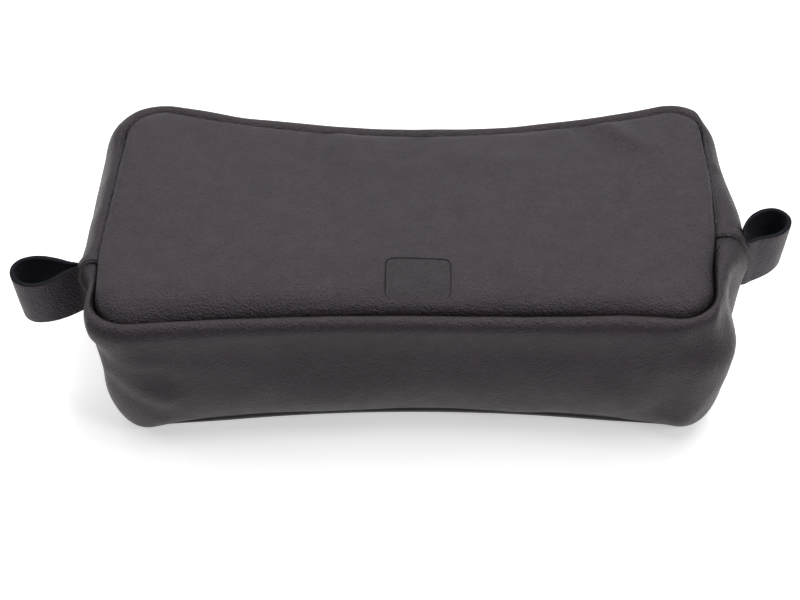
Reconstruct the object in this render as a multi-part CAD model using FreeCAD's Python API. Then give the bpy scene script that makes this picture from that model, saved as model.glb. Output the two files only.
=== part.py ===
import FreeCAD, Part
import math
import os

# A soft leather toiletry case, lying on its back panel, in millimetres.
# +Z is up, +X runs to the right-hand end and +Y to the zip. The origin is in the middle of the resting face.
# Two panels are joined by a gusset: a plain strip round one long side, and a zip gusset beyond the end seams.

Vec = FreeCAD.Vector

# ---- driving dimensions of the case ----
BODY_LENGTH = 250.0      # over both end walls, at the top
BODY_DEPTH = 138.0       # plain wall to zip wall, at the corners
BODY_HEIGHT = 65.0       # back panel to front panel
BACK_CORNER_RADIUS = 7.0  # corners of the back panel in plan
WAIST = 8.0              # how far the middle of each long wall bows in
LEAN = 9.0               # how far the foot of each wall stands inside its top
ROLL_RADIUS = 10.0       # the gusset's rolled edge beside each panel
LEATHER = 1.6
SEAM_ALLOWANCE = 6.0     # turned-in edges inside each panel seam
SEAM_GAP = 0.02          # gusset to panel
LEFT_SEAM_Y = -20.0      # where the plain gusset meets the zip gusset on the left end wall
RIGHT_SEAM_Y = -6.0      # and on the right one
FOLD_GAP = 0.4           # bare fold line between the fixed part and the lifting part
END_BAND_WIDTH = 5.0     # lapped band over each end seam
END_BAND_THICKNESS = 1.2

# ---- seam binding ----
BINDING_THICKNESS = 0.5
BINDING_HEIGHT = 4.0

# ---- zip ----
WINDOW_CLEARANCE = 1.0   # slider to each leather edge
TAPE_WIDTH = 13.0        # chain's middle to the tape's sewn edge
TAPE_THICKNESS = 0.8
TAPE_CLEARANCE = 0.05    # tape to leather
TAPE_END_GAP = 0.3       # loop's tail to the end of the tape
TOOTH_PITCH = 2.8
TOOTH_WIDTH = 1.1        # along the chain
TOOTH_THICKNESS = 2.4    # through the chain
TOOTH_HEAD = 1.8         # chain's middle to the tape's beaded edge
TOOTH_LEG = 1.2          # the part that grips the tape
TOOTH_OVERLAP = 0.5      # how far a head reaches past the chain's middle
TOOTH_GRIP_CLEARANCE = 0.05
STOP_LENGTH = 2.2

# ---- slider and pull ----
SLIDER_SETBACK = 5.0     # end seam to the slider's mouth, as parked
SLIDER_LENGTH = 14.5
SLIDER_FLARE = 1.0       # how much further each side reaches at the mouth than at the tail
SLIDER_PLATE = 1.0
SLIDER_CLEARANCE = 0.4   # chain to plate and lips
SLIDER_CORNER = 0.9
FLANGE_THICKNESS = 0.9
FLANGE_SLOT = 1.5        # the tape runs through it
POST_SETBACK = 1.0
POST_LENGTH = 4.0
POST_WIDTH = 2.0
BRIDGE_WIRE_RADIUS = 0.55
BRIDGE_BAR = 7.2
BRIDGE_FOOT = 9.4
LINK_CLEARANCE = 0.45    # bridge and tab to the link that holds them
LINK_WIRE = 0.7
LINK_THICKNESS = 1.0
LINK_LENGTH = 5.2        # bridge bar to the top of the link's foot
TAB_EYE_DROP = 0.6       # link's foot to the middle of the eye
TAB_EYE_WALL = 1.1
TAB_END_RADIUS = 4.6
TAB_LENGTH = 15.0        # eye to the middle of the rounded end

# ---- end loops ----
LOOP_WIDTH = 23.0
LOOP_LEATHER = 1.9
LOOP_TAIL_HALF = 1.2     # half the thickness of the two thinned layers at the seam
LOOP_TAIL = 6.0          # sewn-in tail inside the wall
LOOP_FOLD_OUT = 1.8      # wall to the line the loop folds about
LOOP_FOLD_CLEARANCE = 0.7
LOOP_REACH = 25.5        # fold line to the loop's outer end
LOOP_RADIUS = 8.3        # outer radius of the round end
LOOP_SLOT_CLEARANCE = 0.3
LEFT_LOOP_TURN = -10.0   # degrees; + is towards the zip wall
RIGHT_LOOP_TURN = 42.0

# ---- stitching ----
STITCH_LENGTH = 2.6
STITCH_PITCH = 3.6
STITCH_WIDTH = 0.7
STITCH_HEIGHT = 0.45
STITCH_LIFT = 0.05
ZIP_STITCH_INSET = 2.0   # leather edge to the topstitch
END_STITCH_INSET = 1.6   # end seam to the end band's topstitch

# ---- worked out from them ----
FAR = 2 * BODY_LENGTH
HALF_LENGTH = BODY_LENGTH / 2
HALF_DEPTH = BODY_DEPTH / 2
LEAN_ANGLE = math.atan(LEAN / BODY_HEIGHT)
FRONT_SEAM_INSET = ROLL_RADIUS / math.tan((math.pi / 2 - LEAN_ANGLE) / 2)
BACK_SEAM_INSET = LEAN + ROLL_RADIUS / math.tan((math.pi / 2 + LEAN_ANGLE) / 2)
CORNER_RADIUS = BACK_SEAM_INSET + BACK_CORNER_RADIUS
CORNER_X = HALF_LENGTH - CORNER_RADIUS
CORNER_Y = HALF_DEPTH - CORNER_RADIUS
SIDE_RADIUS = (CORNER_X ** 2 + WAIST ** 2) / (2 * WAIST) - CORNER_RADIUS
SIDE_CENTRE_Y = HALF_DEPTH - WAIST + SIDE_RADIUS
SIDE_ANGLE = math.asin(CORNER_X / (SIDE_RADIUS + CORNER_RADIUS))
ZIP_Z = BODY_HEIGHT / 2
CHAIN_DEPTH = LEATHER + TAPE_CLEARANCE + TAPE_THICKNESS / 2
CHAIN_INSET = LEAN * (1 - ZIP_Z / BODY_HEIGHT) + CHAIN_DEPTH
FACE_OUT = CHAIN_DEPTH * math.cos(LEAN_ANGLE)        # chain's middle to the leather's outer face
CHAIN_REACH = TOOTH_HEAD + TOOTH_LEG
SLIDER_REAR = CHAIN_REACH + SLIDER_CLEARANCE + FLANGE_THICKNESS
SLIDER_FRONT = SLIDER_REAR + SLIDER_FLARE
WINDOW_HALF = SLIDER_FRONT + WINDOW_CLEARANCE
PLATE_FACE = TOOTH_THICKNESS / 2 + SLIDER_CLEARANCE
SLIDER_TOP = PLATE_FACE + SLIDER_PLATE
SLIDER_AT = SLIDER_SETBACK + SLIDER_LENGTH / 2
LINK_INNER = BRIDGE_WIRE_RADIUS + LINK_CLEARANCE
LINK_OUTER = LINK_INNER + LINK_WIRE
BRIDGE_HEIGHT = SLIDER_TOP + LINK_OUTER + LINK_CLEARANCE
TAB_THICKNESS = 2 * (LINK_INNER - LINK_CLEARANCE)
TAB_EYE_RADIUS = math.hypot(LINK_THICKNESS, LINK_WIRE) / 2 + LINK_CLEARANCE + TAB_EYE_DROP
STOP_AT = SLIDER_SETBACK + STOP_LENGTH / 2
TEETH_START = SLIDER_SETBACK + POST_SETBACK + POST_LENGTH + SLIDER_CLEARANCE
LOOP_HIGH = BODY_HEIGHT - ROLL_RADIUS
LOOP_LOW = LOOP_HIGH - LOOP_WIDTH
LOOP_FOLD_X = HALF_LENGTH - LEAN * (1 - LOOP_HIGH / BODY_HEIGHT) + LOOP_FOLD_OUT
FOLD_SKEW = math.atan2(RIGHT_SEAM_Y - LEFT_SEAM_Y, BODY_LENGTH - FRONT_SEAM_INSET)


def seam_y(side):
    """Where the end seam is on the left (-1) or right (+1) end wall."""
    return LEFT_SEAM_Y if side < 0 else RIGHT_SEAM_Y


def lean_inset(z):
    """How far the wall's outer face stands inside its top edge at height z."""
    return LEAN * (1 - z / BODY_HEIGHT)


def outline(inset, z):
    """The case's plan outline at height z, moved in by inset: straight ends, round corners, waisted sides."""
    r = CORNER_RADIUS - inset
    side = SIDE_RADIUS + inset
    end_x = HALF_LENGTH - inset
    edges = []
    corners = [(1, 1), (-1, 1), (-1, -1), (1, -1)]

    def corner_point(sx, sy, angle):
        """A point of a corner arc; angle 0 is on the end wall, and it grows towards the long side."""
        return Vec(sx * (CORNER_X + r * math.cos(angle)), sy * (CORNER_Y + r * math.sin(angle)), z)

    full = math.pi / 2 + SIDE_ANGLE
    for i, (sx, sy) in enumerate(corners):
        next_sx, next_sy = corners[(i + 1) % 4]
        start, finish = (0.0, full) if i % 2 == 0 else (full, 0.0)
        a, b = corner_point(sx, sy, start), corner_point(sx, sy, finish)
        edges.append(Part.Arc(a, corner_point(sx, sy, full / 2), b).toShape())
        if i % 2 == 0:
            middle = Vec(0, sy * (SIDE_CENTRE_Y - side), z)
            edges.append(Part.Arc(b, middle, corner_point(next_sx, next_sy, full)).toShape())
        else:
            edges.append(Part.LineSegment(b, Vec(sx * end_x, next_sy * CORNER_Y, z)).toShape())
    return Part.Wire(edges)


def prism(inset, low, high):
    """An upright solid of the outline moved in by inset."""
    return Part.Face(outline(inset, low)).extrude(Vec(0, 0, high - low))


def ring(outer, inner, low, high):
    return prism(outer, low, high).cut(prism(inner, low, high))


def leaning(depth, low, high):
    """A solid whose walls lie depth inside the leaning outer face."""
    wires = [outline(lean_inset(z) + depth, z) for z in (low, high)]
    return Part.makeLoft(wires, True, True)


def rolled(solid, radius, low, high):
    """Rounds the rims at the two heights."""
    rims = [e for e in solid.Edges if e.BoundBox.ZLength < 1e-6 and
            (abs(e.BoundBox.ZMin - low) < 1e-6 or abs(e.BoundBox.ZMin - high) < 1e-6)]
    return solid.makeFillet(radius, rims)


def slab(x=(-FAR, FAR), y=(-FAR, FAR), z=(-FAR, FAR)):
    return Part.makeBox(x[1] - x[0], y[1] - y[0], z[1] - z[0], Vec(x[0], y[0], z[0]))


def save(name, shape):
    solids = [s for s in shape.Solids if s.Volume > 1e-3]
    result = solids[0] if len(solids) == 1 else Part.makeCompound(solids)
    result.exportStep(os.path.join("parts", name + ".step"))
    print(name, len(solids), round(sum(s.Volume for s in solids), 1), result.isValid())


# ---- the zip's path: left end wall, corner, zip wall, corner, right end wall ----

def zip_segments():
    """(length, start, heading, turn radius) of each stretch; radius 0 is straight, and + turns right."""
    r = CORNER_RADIUS - CHAIN_INSET
    side = SIDE_RADIUS + CHAIN_INSET
    corner_turn = math.pi / 2 + SIDE_ANGLE
    return [(CORNER_Y - LEFT_SEAM_Y, 0.0), (r * corner_turn, r), (side * 2 * SIDE_ANGLE, -side),
            (r * corner_turn, r), (CORNER_Y - RIGHT_SEAM_Y, 0.0)]


ZIP_LENGTH = sum(length for length, _ in zip_segments())


def zip_point(distance):
    """(x, y, heading) at a distance along the chain from the left end seam."""
    x, y, heading = -(HALF_LENGTH - CHAIN_INSET), LEFT_SEAM_Y, math.pi / 2
    for length, radius in zip_segments():
        step = min(distance, length)
        if radius == 0.0:
            x, y = x + step * math.cos(heading), y + step * math.sin(heading)
        else:
            turned = heading - step / radius
            x += radius * (math.sin(heading) - math.sin(turned))
            y += radius * (math.cos(turned) - math.cos(heading))
            heading = turned
        distance -= step
        if distance <= 0:
            break
    return x, y, heading


def zip_frame(distance):
    """Placement on the chain: local X runs along it, Y points out of the case and Z runs up the wall."""
    x, y, heading = zip_point(distance)
    turn = FreeCAD.Rotation(Vec(0, 0, 1), math.degrees(heading))
    tip = FreeCAD.Rotation(Vec(1, 0, 0), -math.degrees(LEAN_ANGLE))
    return FreeCAD.Placement(Vec(x, y, ZIP_Z), turn.multiply(tip))


def placed(shape, placement):
    moved = shape.copy()
    moved.Placement = placement
    return moved


# ---- leather and seams ----

def make_gusset_ring():
    """The whole gusset before it is divided: wall, two rolled edges and the turned-in seam allowances."""
    outer = rolled(leaning(0.0, 0.0, BODY_HEIGHT), ROLL_RADIUS, 0.0, BODY_HEIGHT)
    top, foot = BODY_HEIGHT - LEATHER, LEATHER
    inner = rolled(leaning(LEATHER, foot, top), ROLL_RADIUS - LEATHER, foot, top)
    wall = outer.cut(inner)
    wall = wall.cut(prism(FRONT_SEAM_INSET, top, BODY_HEIGHT + 1))
    wall = wall.cut(prism(BACK_SEAM_INSET, -1, foot))
    front = ring(FRONT_SEAM_INSET - LEATHER, FRONT_SEAM_INSET, top - SEAM_ALLOWANCE, top)
    back = ring(BACK_SEAM_INSET - LEATHER, BACK_SEAM_INSET, foot, foot + SEAM_ALLOWANCE)
    return wall.fuse([front, back])


def loop_slot(clearance=0.0):
    """The stretch of both end seams that the loops' tails pass through."""
    half = LOOP_TAIL_HALF + clearance
    z = (LOOP_LOW - clearance, LOOP_HIGH + clearance)
    left = slab((-FAR, -CORNER_X), (LEFT_SEAM_Y - half, LEFT_SEAM_Y + half), z)
    return left.fuse(slab((CORNER_X, FAR), (RIGHT_SEAM_Y - half, RIGHT_SEAM_Y + half), z))


def make_panel(inset, face, inward):
    """A panel with its turned-in edge; face is the outer face's height and inward is +1 or -1."""
    low, high = sorted((face, face + inward * LEATHER))
    edge_low, edge_high = sorted((face + inward * LEATHER, face + inward * (LEATHER + SEAM_ALLOWANCE)))
    return prism(inset, low, high).fuse(ring(inset, inset + LEATHER, edge_low, edge_high))


def make_binding(inset, face, inward):
    """Cloth tape folded over the raw edges of one seam."""
    root = face + inward * (LEATHER + SEAM_ALLOWANCE)
    low, high = sorted((root + inward * BINDING_THICKNESS, root - inward * BINDING_HEIGHT))
    near, beyond = inset - LEATHER - SEAM_GAP, inset + LEATHER + 2 * SEAM_GAP
    tape = ring(near - BINDING_THICKNESS, beyond + BINDING_THICKNESS, low, high)
    edge_low, edge_high = sorted((root + inward * SEAM_GAP, root - inward * (BINDING_HEIGHT + 1)))
    return tape.cut(ring(near, beyond, edge_low, edge_high))


def beside_fold(low, high):
    """Everything between two distances from the fold line, which joins the tops of the two end seams."""
    band = slab(y=(low, high))
    band.rotate(Vec(0, 0, 0), Vec(0, 0, 1), math.degrees(FOLD_SKEW))
    band.translate(Vec(-HALF_LENGTH, LEFT_SEAM_Y, 0))
    return band


def fixed_side(shape):
    """The part on the plain wall's side of the fold line."""
    return shape.common(beside_fold(-FAR, 0.0))


def zip_side(shape, gap=0.0):
    """The part beyond the fold line, kept off it by gap."""
    return shape.common(beside_fold(gap, FAR))


def make_end_band(side):
    """The lapped band that covers one end seam, on the outside of the rolled wall."""
    t = END_BAND_THICKNESS
    face = rolled(leaning(0.0, 0.0, BODY_HEIGHT), ROLL_RADIUS, 0.0, BODY_HEIGHT)
    cover = rolled(leaning(-t, -t, BODY_HEIGHT + t), ROLL_RADIUS + t, -t, BODY_HEIGHT + t)
    x = tuple(sorted((side * (HALF_LENGTH - FRONT_SEAM_INSET), side * FAR)))
    place = slab(x, (seam_y(side) - END_BAND_WIDTH, seam_y(side)), (ROLL_RADIUS / 2, FAR))
    return cover.cut(face).common(place).cut(loop_slot())


# ---- zip ----

def make_tapes():
    """The two woven tapes, above and below the chain."""
    low, high = ZIP_Z - TAPE_WIDTH, ZIP_Z + TAPE_WIDTH
    face = LEATHER + TAPE_CLEARANCE
    tape = leaning(face, low, high).cut(leaning(face + TAPE_THICKNESS, low, high))
    tape = zip_side(tape, LOOP_TAIL_HALF + TAPE_END_GAP)
    edge = TOOTH_HEAD + 2 * TOOTH_GRIP_CLEARANCE
    return tape.common(slab(z=(ZIP_Z + edge, FAR))), tape.common(slab(z=(-FAR, ZIP_Z - edge)))


def make_tooth(side):
    """One tooth: a solid head past the tape's edge and two legs that grip it; side is +1 above the middle."""
    half = TOOTH_THICKNESS / 2
    along = (-TOOTH_WIDTH / 2, TOOTH_WIDTH / 2)
    up = tuple(sorted((-side * TOOTH_OVERLAP, side * CHAIN_REACH)))
    tooth = slab(along, (-half, half), up)
    grip = TAPE_THICKNESS / 2 + TOOTH_GRIP_CLEARANCE
    slot = tuple(sorted((side * TOOTH_HEAD, side * (TOOTH_HEAD + 2 * TOOTH_LEG))))
    return tooth.cut(slab(along, (-grip, grip), slot))


def make_teeth(side):
    tooth = make_tooth(side)
    first = TEETH_START + TOOTH_PITCH * (0.5 if side > 0 else 1.0)
    last = ZIP_LENGTH - SLIDER_SETBACK - STOP_LENGTH - TOOTH_WIDTH
    count = int((last - first) / TOOTH_PITCH) + 1
    return Part.makeCompound([placed(tooth, zip_frame(first + i * TOOTH_PITCH)) for i in range(count)])


def make_stop(low, high, distance):
    """A crimped metal stop that grips the tape between two heights of the chain."""
    half = TOOTH_THICKNESS / 2
    grip = TAPE_THICKNESS / 2 + TOOTH_GRIP_CLEARANCE
    length = (-STOP_LENGTH / 2, STOP_LENGTH / 2)
    block = slab(length, (-half, half), (low, high))
    for slot in ((TOOTH_HEAD, TAPE_WIDTH), (-TAPE_WIDTH, -TOOTH_HEAD)):
        block = block.cut(slab(length, (-grip, grip), slot))
    return placed(block, zip_frame(distance))


def make_top_stops():
    inner = POST_WIDTH / 2 + SLIDER_CLEARANCE
    return make_stop(inner, CHAIN_REACH, STOP_AT), make_stop(-CHAIN_REACH, -inner, STOP_AT)


def make_bottom_stop():
    return make_stop(-CHAIN_REACH, CHAIN_REACH, ZIP_LENGTH - STOP_AT)


# ---- slider ----

def slider_outline(trim, overrun, low, high):
    """A slice of the slider's outline, broad at the mouth and narrow at the tail, trimmed at both sides."""
    front, rear = SLIDER_FRONT - trim, SLIDER_REAR - trim
    half = SLIDER_LENGTH / 2 + overrun
    points = [(-half, -front), (0.0, -front), (half, -rear), (half, rear), (0.0, front), (-half, front)]
    corners = [Vec(x, low, z) for x, z in points]
    return Part.Face(Part.makePolygon(corners + corners[:1])).extrude(Vec(0, high - low, 0))


def make_slider_body():
    """Two plates joined by a wedge post, with lips along both edges that keep the chain in."""
    body = slider_outline(0.0, 0.0, -SLIDER_TOP, SLIDER_TOP)
    body = body.makeFillet(SLIDER_CORNER, [e for e in body.Edges if e.BoundBox.YLength > SLIDER_TOP])
    body = body.cut(slider_outline(FLANGE_THICKNESS, 1.0, -PLATE_FACE, PLATE_FACE))
    body = body.cut(slab(y=(-FLANGE_SLOT / 2, FLANGE_SLOT / 2)))
    front = POST_SETBACK - SLIDER_LENGTH / 2
    middle, tail = front + POST_LENGTH / 2, front + POST_LENGTH
    wedge = [Vec(front, -SLIDER_TOP, 0), Vec(middle, -SLIDER_TOP, -POST_WIDTH / 2),
             Vec(tail, -SLIDER_TOP, 0), Vec(middle, -SLIDER_TOP, POST_WIDTH / 2)]
    post = Part.Face(Part.makePolygon(wedge + wedge[:1])).extrude(Vec(0, 2 * SLIDER_TOP, 0))
    return body.fuse(post)


def rod(a, b, radius):
    return Part.makeCylinder(radius, (b - a).Length, a, b - a)


def make_bridge():
    """The bent wire on the slider's outer plate that the pull hangs from."""
    height = BRIDGE_HEIGHT
    bends = [Vec(-BRIDGE_FOOT / 2, SLIDER_TOP, 0), Vec(-BRIDGE_BAR / 2, height, 0),
             Vec(BRIDGE_BAR / 2, height, 0), Vec(BRIDGE_FOOT / 2, SLIDER_TOP, 0)]
    bar = rod(bends[1], bends[2], BRIDGE_WIRE_RADIUS)
    legs = [rod(bends[0], bends[1], BRIDGE_WIRE_RADIUS), rod(bends[2], bends[3], BRIDGE_WIRE_RADIUS)]
    knuckles = [Part.makeSphere(BRIDGE_WIRE_RADIUS, bend) for bend in bends[1:3]]
    return bar.fuse(legs + knuckles).cut(slab(y=(-FAR, SLIDER_TOP)))


def make_link():
    """The flat oblong link; its middle is the bridge's bar, and it hangs down local Z."""
    foot = -LINK_LENGTH

    def oblong(radius, bottom):
        top = Part.makeCylinder(radius, LINK_THICKNESS, Vec(-LINK_THICKNESS / 2, 0, 0), Vec(1, 0, 0))
        legs = slab((-LINK_THICKNESS / 2, LINK_THICKNESS / 2), (-radius, radius), (bottom, 0))
        return top.fuse(legs)

    return oblong(LINK_OUTER, foot - LINK_WIRE).cut(oblong(LINK_INNER, foot))


def make_tab():
    """The pull tab, hung by its eye on the link's foot; the origin is the bridge's bar."""
    pivot = -LINK_LENGTH - LINK_WIRE / 2
    eye = pivot - TAB_EYE_DROP
    small, large = TAB_EYE_RADIUS + TAB_EYE_WALL, TAB_END_RADIUS
    end = eye - TAB_LENGTH
    low = -TAB_THICKNESS / 2

    def disc(radius, z):
        return Part.makeCylinder(radius, TAB_THICKNESS, Vec(0, low, z), Vec(0, 1, 0))

    tilt = math.asin((large - small) / TAB_LENGTH)
    dx, dz = math.cos(tilt), math.sin(tilt)
    corners = [Vec(small * dx, low, eye + small * dz), Vec(large * dx, low, end + large * dz),
               Vec(-large * dx, low, end + large * dz), Vec(-small * dx, low, eye + small * dz)]
    blade = Part.Face(Part.makePolygon(corners + corners[:1])).extrude(Vec(0, TAB_THICKNESS, 0))
    return blade.fuse([disc(small, eye), disc(large, end)]).cut(disc(TAB_EYE_RADIUS, eye))


def plumb_frame(distance, out):
    """Placement at a distance out from the chain, with local Z straight up so that pieces hang plumb."""
    heading = zip_point(distance)[2]
    turn = FreeCAD.Rotation(Vec(0, 0, 1), math.degrees(heading))
    return FreeCAD.Placement(zip_frame(distance).multVec(Vec(0, out, 0)), turn)


# ---- end loops ----

def make_loop_tail(side):
    """The two sewn-in layers, from inside the case through the wall to the line the loop folds about."""
    x = tuple(sorted((side * (LOOP_FOLD_X - LOOP_FOLD_OUT - LEATHER - LOOP_TAIL), side * LOOP_FOLD_X)))
    y = (seam_y(side) - LOOP_TAIL_HALF, seam_y(side) + LOOP_TAIL_HALF)
    nose = Part.makeCylinder(LOOP_TAIL_HALF, LOOP_WIDTH, Vec(side * LOOP_FOLD_X, seam_y(side), LOOP_LOW))
    return slab(x, y, (LOOP_LOW, LOOP_HIGH)).fuse(nose)


def teardrop(radius, centre, root):
    """A flat drop along +X: straight sides from a root of half width root to a round end about centre."""
    swing = math.asin((radius - root) / centre)
    x, y = centre - radius * math.sin(swing), radius * math.cos(swing)
    start, top, tip = Vec(0, root, 0), Vec(x, y, 0), Vec(centre + radius, 0, 0)
    low, finish = Vec(x, -y, 0), Vec(0, -root, 0)
    edges = [Part.LineSegment(start, top), Part.Arc(top, tip, low), Part.LineSegment(low, finish)]
    if root > 0:
        edges.append(Part.LineSegment(finish, start))
    return Part.Face(Part.Wire([e.toShape() for e in edges]))


def make_loop(side, turn):
    """The free loop, a strip bent round on itself, turned about its fold line by turn degrees."""
    centre = LOOP_REACH - LOOP_RADIUS
    drop = teardrop(LOOP_RADIUS, centre, LOOP_TAIL_HALF)
    hollow = teardrop(LOOP_RADIUS - LOOP_LEATHER, centre, 0.0)
    band = drop.cut(hollow).extrude(Vec(0, 0, LOOP_WIDTH))
    band = band.cut(Part.makeCylinder(LOOP_TAIL_HALF + LOOP_FOLD_CLEARANCE, LOOP_WIDTH))
    band.rotate(Vec(0, 0, 0), Vec(0, 0, 1), turn if side > 0 else 180 - turn)
    band.translate(Vec(side * LOOP_FOLD_X, seam_y(side), LOOP_LOW))
    return band


# ---- stitching ----

def make_zip_stitching(side):
    """Topstitching along one leather edge of the zip."""
    out = FACE_OUT + STITCH_LIFT
    up = side * (WINDOW_HALF + ZIP_STITCH_INSET) / math.cos(LEAN_ANGLE)
    stitch = slab((-STITCH_LENGTH / 2, STITCH_LENGTH / 2), (out, out + STITCH_HEIGHT),
                  (up - STITCH_WIDTH / 2, up + STITCH_WIDTH / 2))
    count = int((ZIP_LENGTH - STITCH_PITCH) / STITCH_PITCH)
    first = (ZIP_LENGTH - (count - 1) * STITCH_PITCH) / 2
    return Part.makeCompound([placed(stitch, zip_frame(first + i * STITCH_PITCH)) for i in range(count)])


def make_end_stitching(side):
    """Topstitching on one end band, from the foot's roll up to the loop."""
    out = FACE_OUT + END_BAND_THICKNESS + STITCH_LIFT
    low = ROLL_RADIUS + STITCH_WIDTH
    stitches = []
    for i in range(int((LOOP_LOW - low) / STITCH_PITCH)):
        foot = low + i * STITCH_PITCH - ZIP_Z
        stitches.append(slab((-STITCH_WIDTH / 2, STITCH_WIDTH / 2), (out, out + STITCH_HEIGHT),
                             (foot, foot + STITCH_LENGTH)))
    group = placed(Part.makeCompound(stitches), zip_frame(-END_STITCH_INSET))
    if side > 0:
        group = group.mirror(Vec(0, 0, 0), Vec(1, 0, 0))
        group.translate(Vec(0, RIGHT_SEAM_Y - LEFT_SEAM_Y, 0))
    return group


def save_leather():
    gusset = make_gusset_ring()
    save("bottom_gusset", fixed_side(gusset).cut(loop_slot()))
    beyond = zip_side(gusset).cut(loop_slot())
    save("zip_gusset_back", beyond.common(slab(z=(-FAR, ZIP_Z - WINDOW_HALF))))
    lifting = zip_side(gusset, FOLD_GAP).cut(loop_slot(LOOP_SLOT_CLEARANCE))
    save("zip_gusset_front", lifting.common(slab(z=(ZIP_Z + WINDOW_HALF, FAR))))
    save("back_panel", make_panel(BACK_SEAM_INSET + SEAM_GAP, 0.0, 1))
    front = make_panel(FRONT_SEAM_INSET + SEAM_GAP, BODY_HEIGHT, -1)
    save("front_panel_near", fixed_side(front))
    save("front_panel_flap", zip_side(front, FOLD_GAP))
    save("back_binding", make_binding(BACK_SEAM_INSET, 0.0, 1))
    binding = make_binding(FRONT_SEAM_INSET, BODY_HEIGHT, -1)
    save("front_binding_near", fixed_side(binding))
    save("front_binding_flap", zip_side(binding, FOLD_GAP))


def save_zip():
    front, back = make_tapes()
    save("zip_tape_front", front)
    save("zip_tape_back", back)
    save("zip_teeth_front", make_teeth(1))
    save("zip_teeth_back", make_teeth(-1))
    front, back = make_top_stops()
    save("zip_top_stop_front", front)
    save("zip_top_stop_back", back)
    save("zip_bottom_stop", make_bottom_stop())
    save("zip_slider_body", placed(make_slider_body(), zip_frame(SLIDER_AT)))
    save("zip_slider_bridge", placed(make_bridge(), zip_frame(SLIDER_AT)))
    plumb = plumb_frame(SLIDER_AT, BRIDGE_HEIGHT)
    save("pull_link", placed(make_link(), plumb))
    save("pull_tab", placed(make_tab(), plumb))


def save_ends():
    for name, side, turn in (("left", -1, LEFT_LOOP_TURN), ("right", 1, RIGHT_LOOP_TURN)):
        save(name + "_end_band", make_end_band(side))
        save(name + "_end_stitching", make_end_stitching(side))
        save(name + "_loop_tail", make_loop_tail(side))
        save(name + "_loop", make_loop(side, turn))


def main():
    os.makedirs("parts", exist_ok=True)
    save_leather()
    save_zip()
    save_ends()
    save("zip_stitching_front", make_zip_stitching(1))
    save("zip_stitching_back", make_zip_stitching(-1))


main()
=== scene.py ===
import math
import bpy
from mathutils import Matrix, Vector, noise


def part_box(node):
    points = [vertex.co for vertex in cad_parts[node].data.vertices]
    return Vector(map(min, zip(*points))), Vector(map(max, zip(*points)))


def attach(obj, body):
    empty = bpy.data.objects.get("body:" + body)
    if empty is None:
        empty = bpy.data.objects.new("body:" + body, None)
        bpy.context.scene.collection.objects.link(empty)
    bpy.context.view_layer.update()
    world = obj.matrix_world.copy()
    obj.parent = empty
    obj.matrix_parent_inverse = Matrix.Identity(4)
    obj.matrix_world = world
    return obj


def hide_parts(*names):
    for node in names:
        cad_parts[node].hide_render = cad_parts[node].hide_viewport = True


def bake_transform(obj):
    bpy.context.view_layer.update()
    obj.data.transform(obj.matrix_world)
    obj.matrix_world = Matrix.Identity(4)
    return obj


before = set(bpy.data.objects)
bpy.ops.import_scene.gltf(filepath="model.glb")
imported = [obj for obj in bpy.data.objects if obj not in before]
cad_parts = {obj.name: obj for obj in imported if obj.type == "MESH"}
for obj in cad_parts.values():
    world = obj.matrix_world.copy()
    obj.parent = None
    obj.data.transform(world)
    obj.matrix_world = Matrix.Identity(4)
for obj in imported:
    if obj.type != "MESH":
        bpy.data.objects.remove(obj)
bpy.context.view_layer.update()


# ---- Table, lights and camera ----
# A white light table, softly lit from below and dimmer towards its rim. Broad softboxes hang high behind and
# over the case, weaker ones at the left and the near right, and the pale room is brightest behind. The camera
# looks down at the plain side of the case.

TABLE_SIZE = 6.0
TABLE_GLOW = 0.44
RIM_GLOW = 0.1
GLOW_FADES = (0.28, 0.7)     # from and to these distances from the middle
CAMERA_TARGET = Vector((0.0, 0.0, 0.0325))
CAMERA_ELEVATION = math.radians(45.2)
CAMERA_DISTANCE = 0.7415
CAMERA_LENS = 85.35
CAMERA_SHIFT = (-0.0175, -0.0384)


def linear(colour):
    """An sRGB hex colour as linear red, green, blue and alpha."""
    channels = [int(colour[i:i + 2], 16) / 255 for i in (1, 3, 5)]
    return [c / 12.92 if c <= 0.04045 else ((c + 0.055) / 1.055) ** 2.4 for c in channels] + [1.0]


def node(material, kind, links=None, **settings):
    """Adds a node; settings are its properties or inputs, and links join its inputs to other outputs."""
    made = material.node_tree.nodes.new(kind)
    for name, value in settings.items():
        if hasattr(made, name):
            setattr(made, name, value)
        else:
            made.inputs[name.replace("_", " ")].default_value = value
    for name, source in (links or {}).items():
        material.node_tree.links.new(source, made.inputs[name])
    return made


def blank_material(name):
    """A new material with an empty shader and its output."""
    material = bpy.data.materials.new(name)
    material.use_nodes = True
    material.node_tree.nodes.clear()
    shader = material.node_tree.nodes.new("ShaderNodeBsdfPrincipled")
    out = material.node_tree.nodes.new("ShaderNodeOutputMaterial")
    material.node_tree.links.new(shader.outputs[0], out.inputs["Surface"])
    return material, shader


def placed(name, data):
    """A new object in the scene."""
    made = bpy.data.objects.new(name, data)
    bpy.context.collection.objects.link(made)
    return made


def softbox(name, place, aim, size, power):
    """A rectangular area light at place, turned to face aim."""
    lamp = bpy.data.lights.new(name, "AREA")
    lamp.shape = "RECTANGLE"
    lamp.size, lamp.size_y = size
    lamp.energy = power
    made = placed(name, lamp)
    made.location = place
    made.rotation_euler = (Vector(aim) - Vector(place)).to_track_quat("-Z", "Y").to_euler()


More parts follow.
